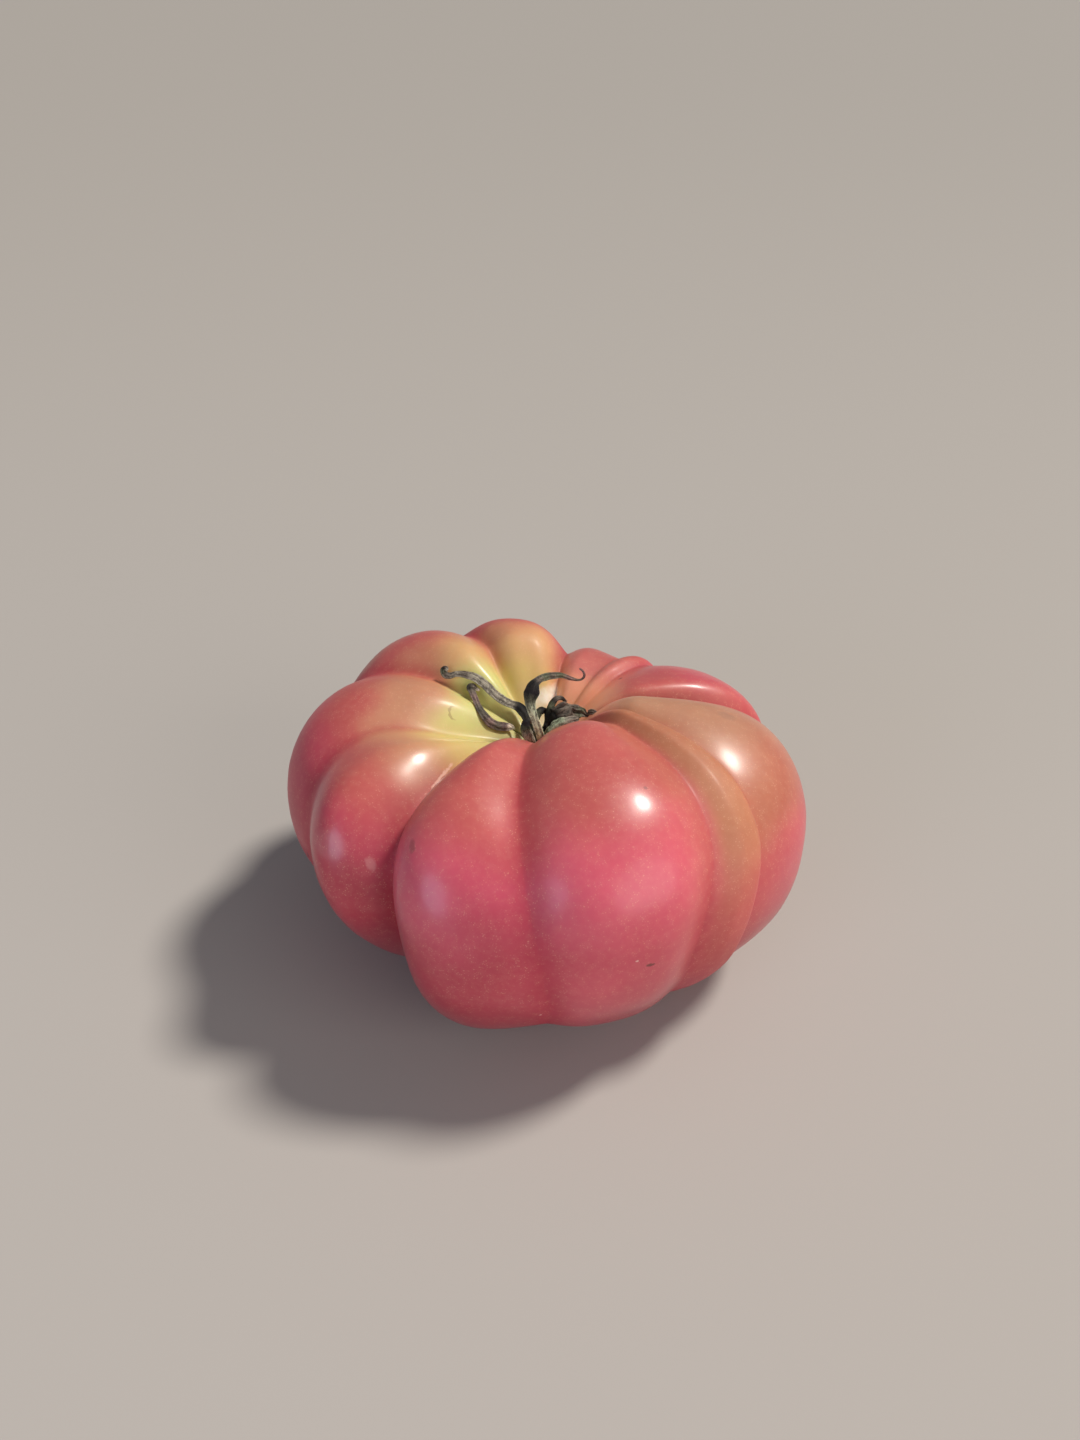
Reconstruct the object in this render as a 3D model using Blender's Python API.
"""A ribbed beefsteak tomato, as picked, standing on its blossom end.

The fruit is one solid of eleven lobes round a sunken stem cavity. In the cavity sit the dried calyx,
which is a small woody base and eight shrivelled sepals, and the stub of the stem. Every sepal is a
piece of its own.

Lengths are in millimetres until the last step and angles are in degrees. The origin is the middle of
the flat spot that the fruit stands on, under the stem, and +Z is up. An azimuth is 0 at the front,
which is -Y, and grows towards +X.
"""

from collections import namedtuple
from math import acos, atan2, ceil, cos, degrees, hypot, pi, radians, sin, sqrt

import bmesh
import bpy
from mathutils import Vector

MM = 0.001

# The fruit
CAVITY_HEIGHT = 43.0  # floor of the stem cavity
CAVITY_SHIFT = (1.0, 3.0)  # its wall lies a little right of and behind the fruit's middle
CAVITY_SHIFT_RISE = (0.0, 8.0)  # radii over which that shift comes in, as the floor stays in the middle
CAVITY_SHIFT_FADE = (4.0, 26.0)  # radii over which that shift fades
FOOT_RADIUS = 20.0  # where the underside meets the surface that the fruit stands on
FLAT_RADIUS = 13.0  # inside it no crease lifts the flat spot
SHOULDER_POWER = 2.3  # 2 would be an ellipse, and more is fuller
CREASE_FADE = (2.0, 20.0)  # creases deepen over these radii, going out of the cavity

COLUMNS_PER_LOBE = 8
CAVITY_RINGS = 8
SHOULDER_RINGS = 10
FLANK_RINGS = 9
BASE_RINGS = 2

# A crease lies between two lobes. It swings on its way from crown to foot, by so many degrees for the whole
# way, is this deep on the shoulder, on the flank and at the foot, and is softer the larger its softness is.
# Before and after say how narrow it is on the lobe before it and on the lobe after it.
Crease = namedtuple("Crease", "azimuth swing shoulder flank foot softness before after")
# A lobe follows its crease, going round. Wall is its way up from the cavity's floor, where 1 rises at once
# and 2 leaves a broad floor. Equator is the height where it is widest, and belly its fullness under that,
# where 2 is an ellipse.
Lobe = namedtuple("Lobe", "reach crown crown_radius wall equator belly")

RIBS = (
    (Crease(-40.5, 12, 7.5, 9.5, 8.5, 0.06, 1.5, 3.2), Lobe(53.5, 59.0, 21.5, 1.25, 30.0, 2.15)),  # front left
    (Crease(-3.8, 19, 4.0, 2.2, 1.5, 0.12, 1.3, 2.8), Lobe(54.3, 62.0, 19.5, 1.25, 34.0, 2.15)),  # front
    (Crease(44.5, -34, 2.2, 2.2, 0.5, 0.15, 3.0, 1.1), Lobe(54.0, 60.2, 20.0, 1.25, 34.0, 2.2)),  # right front
    (Crease(59.5, -35, 1.3, 1.4, 0.6, 0.10, 6.0, 2.6), Lobe(57.0, 59.2, 21.0, 1.25, 34.0, 2.4)),  # right
    (Crease(100, 0, 4.2, 3.0, 1.5, 0.08, 2.5, 6.0), Lobe(51.0, 56.0, 25.0, 1.25, 34.0, 2.2)),  # right back
    (Crease(134, 5, 1.6, 1.9, 1.2, 0.15, 2.0, 2.0), Lobe(43.0, 54.8, 26.0, 1.25, 34.0, 2.0)),  # back, small
    (Crease(145, 0, 1.1, 1.3, 1.0, 0.15, 2.0, 2.0), Lobe(42.5, 53.5, 25.0, 1.25, 34.0, 2.0)),  # back, small
    (Crease(168, 0, 4.0, 5.0, 2.0, 0.10, 2.0, 3.0), Lobe(47.0, 58.5, 28.0, 2.2, 34.0, 2.0)),  # back left, high
    (Crease(208, 15, 4.0, 3.0, 1.5, 0.15, 3.0, 2.0), Lobe(53.5, 59.2, 27.0, 1.25, 34.0, 2.0)),  # left back
    (Crease(243, 15, 4.0, 3.0, 1.5, 0.15, 2.0, 2.0), Lobe(54.0, 57.0, 28.0, 1.25, 35.0, 2.0)),  # left
    (Crease(287, 33, 2.4, 3.2, 2.2, 0.25, 1.7, 1.5), Lobe(52.6, 56.0, 32.0, 1.25, 36.0, 1.6)),  # left front
)
SWING_START = 0.25  # share of the way down at which a crease is at its azimuth
SWING_END = 0.55  # from here down it stays where it is

# The calyx
CALYX_HEIGHT = 48.0  # the sepals' routes are measured from here, on the stem's axis
BASE_PROFILE = ((0.5, -3.6), (1.2, -2.9), (2.0, -2.0), (2.6, -1.2), (2.4, -0.7), (1.6, -0.5))
STUB_PROFILE = ((1.0, -0.2), (1.1, 0.6), (0.9, 1.5), (1.2, 2.0), (0.8, 2.3))
TURNED_SIDES = 16

BLADE_SIDES = 8
STATIONS_PER_SPAN = 3
TIP_WIDTH = 0.35  # share of the full width left at a sepal's tip
STALK_WIDTH = 0.6  # share of the full width at its foot

# Each sepal is a blade that follows a route from the rim of the base. Its width lies across the route,
# square to the direction "up" that the blade's face looks in.
Sepal = namedtuple("Sepal", "route width thickness up")

SEPALS = {
    "sepal_long_left": Sepal(
        (
            (-2.5, 1.6, -0.4), (-2.6, 3.0, 0.8), (-2.6, 4.8, 1.6), (-3.2, 6.6, 2.4), (-4.4, 7.7, 3.1),
            (-6.0, 8.1, 3.6), (-7.5, 8.5, 4.2), (-9.0, 9.0, 5.1), (-10.6, 10.0, 6.3), (-12.1, 11.0, 7.4),
            (-13.8, 11.7, 8.1), (-15.7, 12.1, 8.4), (-17.7, 12.5, 8.4), (-19.4, 12.6, 8.1),
            (-20.5, 13.2, 8.7),
        ),
        1.4, 0.8, (0.0, -0.5, 0.85),
    ),
    "sepal_bent_left": Sepal(
        (
            (-2.9, -0.7, -0.4), (-4.0, 1.0, 0.3), (-5.3, 2.6, 0.6), (-6.9, 3.0, 0.9), (-8.5, 2.6, 1.5),
            (-10.1, 2.6, 2.6), (-11.4, 3.4, 3.7), (-12.6, 5.1, 4.6), (-13.6, 7.6, 5.2), (-14.4, 9.3, 5.9),
            (-14.5, 10.2, 6.6), (-13.4, 10.1, 6.3),
        ),
        1.4, 0.8, (0.3, -0.7, 0.6),
    ),
    "sepal_upright": Sepal(
        (
            (0.6, -2.5, 0.3), (0.9, -2.2, 2.9), (0.3, -1.4, 4.6), (-0.6, -0.4, 5.8), (-1.5, 0.6, 8.0),
            (-2.2, 1.6, 9.6), (-2.0, 3.2, 11.0), (-1.2, 4.8, 11.6), (0.6, 6.2, 11.1), (2.8, 7.4, 10.7),
            (5.0, 8.4, 10.4), (7.0, 9.1, 9.2), (8.6, 9.5, 8.3), (9.6, 9.4, 9.3), (9.2, 9.0, 10.9),
        ),
        2.0, 0.9, (0.0, -0.8, 0.6),
    ),
    "sepal_crumpled_right": Sepal(
        (
            (2.9, 0.8, -0.4), (3.9, 1.6, 3.0), (5.9, 2.6, 5.1), (8.0, 2.8, 5.5), (9.7, 2.6, 5.3),
            (12.0, 2.6, 5.5),
        ),
        4.4, 1.8, (0.0, -0.5, 0.9),
    ),
    "sepal_folded_right": Sepal(
        ((2.8, -1.3, -0.4), (4.2, -1.5, 2.4), (6.2, -1.3, 4.8), (8.8, -0.8, 6.0)),
        2.2, 1.0, (0.0, -0.7, 0.7),
    ),
    "sepal_arched_back": Sepal(
        (
            (1.5, 2.6, -0.4), (2.2, 3.8, 3.6), (3.4, 5.0, 6.2), (4.6, 5.9, 6.6), (5.9, 6.5, 5.2),
            (6.6, 6.7, 3.8),
        ),
        2.0, 0.9, (0.0, -0.7, 0.7),
    ),
    "sepal_short_back": Sepal(
        ((-0.5, 2.95, -0.4), (-0.4, 3.9, 3.2), (0.4, 5.0, 4.4), (1.4, 5.8, 3.8)),
        1.8, 0.9, (0.0, -0.7, 0.7),
    ),
    "sepal_rolled_front": Sepal(
        (
            (-1.5, -2.3, 0.2), (-2.6, -2.1, 2.7), (-3.3, -1.5, 4.0), (-3.1, -0.4, 4.9),
            (-2.1, 0.2, 4.5), (-1.8, -0.2, 3.4),
        ),
        2.3, 0.8, (-0.7, -0.5, 0.4),
    ),
}

# name: colour (linear), roughness
FINISHES = {
    "skin": ((0.62, 0.11, 0.09), 0.22),
    "dry_leaf": ((0.10, 0.095, 0.075), 0.75),
    "dry_wood": ((0.20, 0.17, 0.12), 0.8),
}


def material(name):
    """The material of that finish, made when it is first asked for."""
    if name in bpy.data.materials:
        return bpy.data.materials[name]
    colour, roughness = FINISHES[name]
    made = bpy.data.materials.new(name)
    made.use_nodes = True
    shader = made.node_tree.nodes["Principled BSDF"]
    shader.inputs["Base Color"].default_value = (*colour, 1.0)
    shader.inputs["Roughness"].default_value = roughness
    shader.inputs["Metallic"].default_value = 0.0
    return made


def add_object(name, bm, finish):
    """Turn a mesh in millimetres into the named object, in metres, with its faces pointing out."""
    bmesh.ops.scale(bm, vec=(MM, MM, MM), verts=bm.verts)
    bmesh.ops.recalc_face_normals(bm, faces=bm.faces)
    mesh = bpy.data.meshes.new(name)
    bm.to_mesh(mesh)
    bm.free()
    mesh.shade_smooth()
    mesh.materials.append(material(finish))
    made = bpy.data.objects.new(name, mesh)
    bpy.context.scene.collection.objects.link(made)
    return made


def ease(x, low, high):
    """0 below low, 1 above high, and a smooth step between them."""
    x = min(max((x - low) / (high - low), 0.0), 1.0)
    return x * x * (3.0 - 2.0 * x)


def crease_azimuth(k):
    """Azimuth of crease k at the crown, where k may count on past a full turn."""
    turns, index = divmod(k, len(RIBS))
    return RIBS[index][0].azimuth + 360.0 * turns


def lobe_middle(k):
    return (crease_azimuth(k) + crease_azimuth(k + 1)) / 2.0


def around(azimuth, dimension):
    """A lobe dimension at any azimuth, on a smooth closed curve through the middles of the lobes."""
    k = -1
    while azimuth >= lobe_middle(k + 1):
        k += 1
    value = [getattr(RIBS[(k + step) % len(RIBS)][1], dimension) for step in (-1, 0, 1, 2)]
    place = [lobe_middle(k + step) for step in (-1, 0, 1, 2)]
    span = place[2] - place[1]
    x = (azimuth - place[1]) / span
    start_slope = (value[2] - value[0]) / (place[2] - place[0]) * span
    end_slope = (value[3] - value[1]) / (place[3] - place[1]) * span
    return (
        (2 * x**3 - 3 * x**2 + 1) * value[1]
        + (x**3 - 2 * x**2 + x) * start_slope
        + (3 * x**2 - 2 * x**3) * value[2]
        + (x**3 - x**2) * end_slope
    )


def groove(distance, softness, narrowness):
    """Depth share of a crease at a distance of 0 to 1 from it, where 1 is the middle of the lobe."""
    if distance >= 1.0:
        return 0.0
    return max((1.0 - sqrt(distance**2 + softness**2)) / (1.0 - softness), 0.0) ** narrowness


def meridian(ring, reach, crown, crown_radius, wall, equator, belly):
    """One ring's place on the smooth fruit, without creases.

    Gives the radius, the height, the outward direction (radial, vertical), how much each of a crease's
    three depths counts there, and how far down from crown to foot the ring is.
    """
    if ring <= CAVITY_RINGS:  # up the wall of the cavity to the crown
        x = ring / CAVITY_RINGS
        rise = crown - CAVITY_HEIGHT
        turn = pi / 2 * x**wall
        radius = crown_radius * x
        height = CAVITY_HEIGHT + rise * sin(turn)
        slope = rise * cos(turn) * pi / 2 * wall * x ** (wall - 1)
        return radius, height, (-slope, crown_radius), (ease(radius, *CREASE_FADE), 0.0, 0.0), 0.0
    ring -= CAVITY_RINGS
    if ring <= SHOULDER_RINGS:  # over the shoulder to the equator
        x = ring / SHOULDER_RINGS
        turn = pi / 2 * x
        power = 2 / SHOULDER_POWER
        out = reach - crown_radius
        drop = crown - equator
        radius = crown_radius + out * sin(turn) ** power
        height = equator + drop * max(cos(turn), 0.0) ** power
        normal = (drop * sin(turn), out * cos(turn))
        return radius, height, normal, (1 - ease(x, 0, 1), ease(x, 0, 1), 0.0), x / 2
    ring -= SHOULDER_RINGS
    if ring <= FLANK_RINGS:  # under the belly to the foot
        x = ring / FLANK_RINGS
        turn = pi / 2 * x
        power = 2 / belly
        out = reach - FOOT_RADIUS
        radius = FOOT_RADIUS + out * max(cos(turn), 0.0) ** power
        height = equator * (1 - sin(turn) ** power)
        normal = (equator * cos(turn), -out * sin(turn))
        return radius, height, normal, (0.0, 1 - ease(x, 0, 1), ease(x, 0, 1)), (1 + x) / 2
    ring -= FLANK_RINGS  # across the flat spot to its middle
    radius = (FLAT_RADIUS, 0.0)[ring - 1]
    return radius, 0.0, (0.0, -1.0), (0.0, 0.0, 0.0), 1.0


def skin_point(lobe, across, ring):
    """A point of the fruit's skin, at a share 0 to 1 of the way across a lobe, on a ring."""
    near = RIBS[lobe][0]
    far = RIBS[(lobe + 1) % len(RIBS)][0]
    azimuth = crease_azimuth(lobe) + across * (crease_azimuth(lobe + 1) - crease_azimuth(lobe))
    lobe_form = [around(azimuth, dimension) for dimension in Lobe._fields]
    radius, height, normal, weights, run = meridian(ring, *lobe_form)
    depth = 0.0
    sides = ((near, 2 * across, near.after), (far, 2 - 2 * across, far.before))
    for crease, distance, narrowness in sides:
        share = groove(distance, crease.softness, narrowness)
        depth += share * sum(w * d for w, d in zip(weights, (crease.shoulder, crease.flank, crease.foot)))
    length = hypot(*normal)
    radius = max(radius - depth * normal[0] / length, 0.0)
    height = max(height - depth * normal[1] / length, 0.0)
    swing = near.swing * (1 - across) + far.swing * across
    turn = radians(azimuth + swing * (min(run, SWING_END) - SWING_START))
    shift = ease(radius, *CAVITY_SHIFT_RISE) * (1 - ease(radius, *CAVITY_SHIFT_FADE)) if run < 0.5 else 0.0
    x = radius * sin(turn) + CAVITY_SHIFT[0] * shift
    y = -radius * cos(turn) + CAVITY_SHIFT[1] * shift
    return Vector((x, y, height))


def make_fruit():
    """A sphere of columns and rings, with each vertex moved to its place on the skin."""
    columns = COLUMNS_PER_LOBE * len(RIBS)
    rings = CAVITY_RINGS + SHOULDER_RINGS + FLANK_RINGS + BASE_RINGS
    bm = bmesh.new()
    bmesh.ops.create_uvsphere(bm, u_segments=columns, v_segments=rings, radius=1.0)
    for vertex in bm.verts:
        x, y, z = vertex.co.normalized()
        ring = round(acos(min(max(z, -1.0), 1.0)) / pi * rings)
        column = round(degrees(atan2(x, -y)) / 360.0 * columns) % columns
        lobe, step = divmod(column, COLUMNS_PER_LOBE)
        across = (1 - cos(pi * step / COLUMNS_PER_LOBE)) / 2  # columns crowd towards the creases
        vertex.co = skin_point(lobe, across, ring)
    return add_object("tomato_fruit", bm, "skin")


def loft(rings):
    """A closed body through rings of points, capped at both ends."""
    bm = bmesh.new()
    loops = [[bm.verts.new(point) for point in ring] for ring in rings]
    for low, high in zip(loops, loops[1:]):
        for k in range(len(low)):
            j = (k + 1) % len(low)
            bm.faces.new((low[k], low[j], high[j], high[k]))
    bm.faces.new(loops[0])
    bm.faces.new(loops[-1])
    return bm


def make_turned(name, profile, finish):
    """A small round piece on the stem's axis, from its radii and heights."""
    rings = []
    for radius, height in profile:
        turns = [2 * pi * k / TURNED_SIDES for k in range(TURNED_SIDES)]
        rings.append([(radius * cos(a), radius * sin(a), CALYX_HEIGHT + height) for a in turns])
    return add_object(name, loft(rings), finish)


def route_point(points, place):
    """A point on the smooth curve through the route, where place counts its points from 0."""
    k = min(int(place), len(points) - 2)
    x = place - k
    before = points[k - 1] if k > 0 else 2 * points[0] - points[1]
    after = points[k + 2] if k + 2 < len(points) else 2 * points[-1] - points[-2]
    a, b = points[k], points[k + 1]
    return 0.5 * (
        2 * a
        + (b - before) * x
        + (2 * before - 5 * a + 4 * b - after) * x**2
        + (3 * a - before - 3 * b + after) * x**3
    )


def blade_width(share):
    """Width share along a sepal: narrow at its foot, full in the middle and slim at its tip."""
    if share < 0.3:
        return STALK_WIDTH + (1 - STALK_WIDTH) * ease(share, 0.0, 0.3)
    return 1 - (1 - TIP_WIDTH) * ease(share, 0.55, 1.0)


def make_sepal(name, sepal):
    """A blade of lens-shaped sections along the sepal's route."""
    points = [Vector(p) + Vector((0, 0, CALYX_HEIGHT)) for p in sepal.route]
    spans = len(points) - 1
    stations = ceil(spans * STATIONS_PER_SPAN)
    centres = [route_point(points, spans * k / stations) for k in range(stations + 1)]
    rings = []
    for k, centre in enumerate(centres):
        ahead = centres[min(k + 1, stations)] - centres[max(k - 1, 0)]
        side = ahead.cross(Vector(sepal.up)).normalized()
        face = side.cross(ahead).normalized()
        half_width = sepal.width * blade_width(k / stations) / 2
        half_thickness = min(sepal.thickness / 2, half_width)
        ring = []
        for corner in range(BLADE_SIDES):
            turn = 2 * pi * corner / BLADE_SIDES
            ring.append(centre + side * half_width * cos(turn) + face * half_thickness * sin(turn))
        rings.append(ring)
    return add_object(name, loft(rings), "dry_leaf")


def main():
    for old in list(bpy.data.objects):
        bpy.data.objects.remove(old, do_unlink=True)
    make_fruit()
    make_turned("calyx_base", BASE_PROFILE, "dry_wood")
    make_turned("stem_stub", STUB_PROFILE, "dry_wood")
    for name, sepal in SEPALS.items():
        make_sepal(name, sepal)


main()
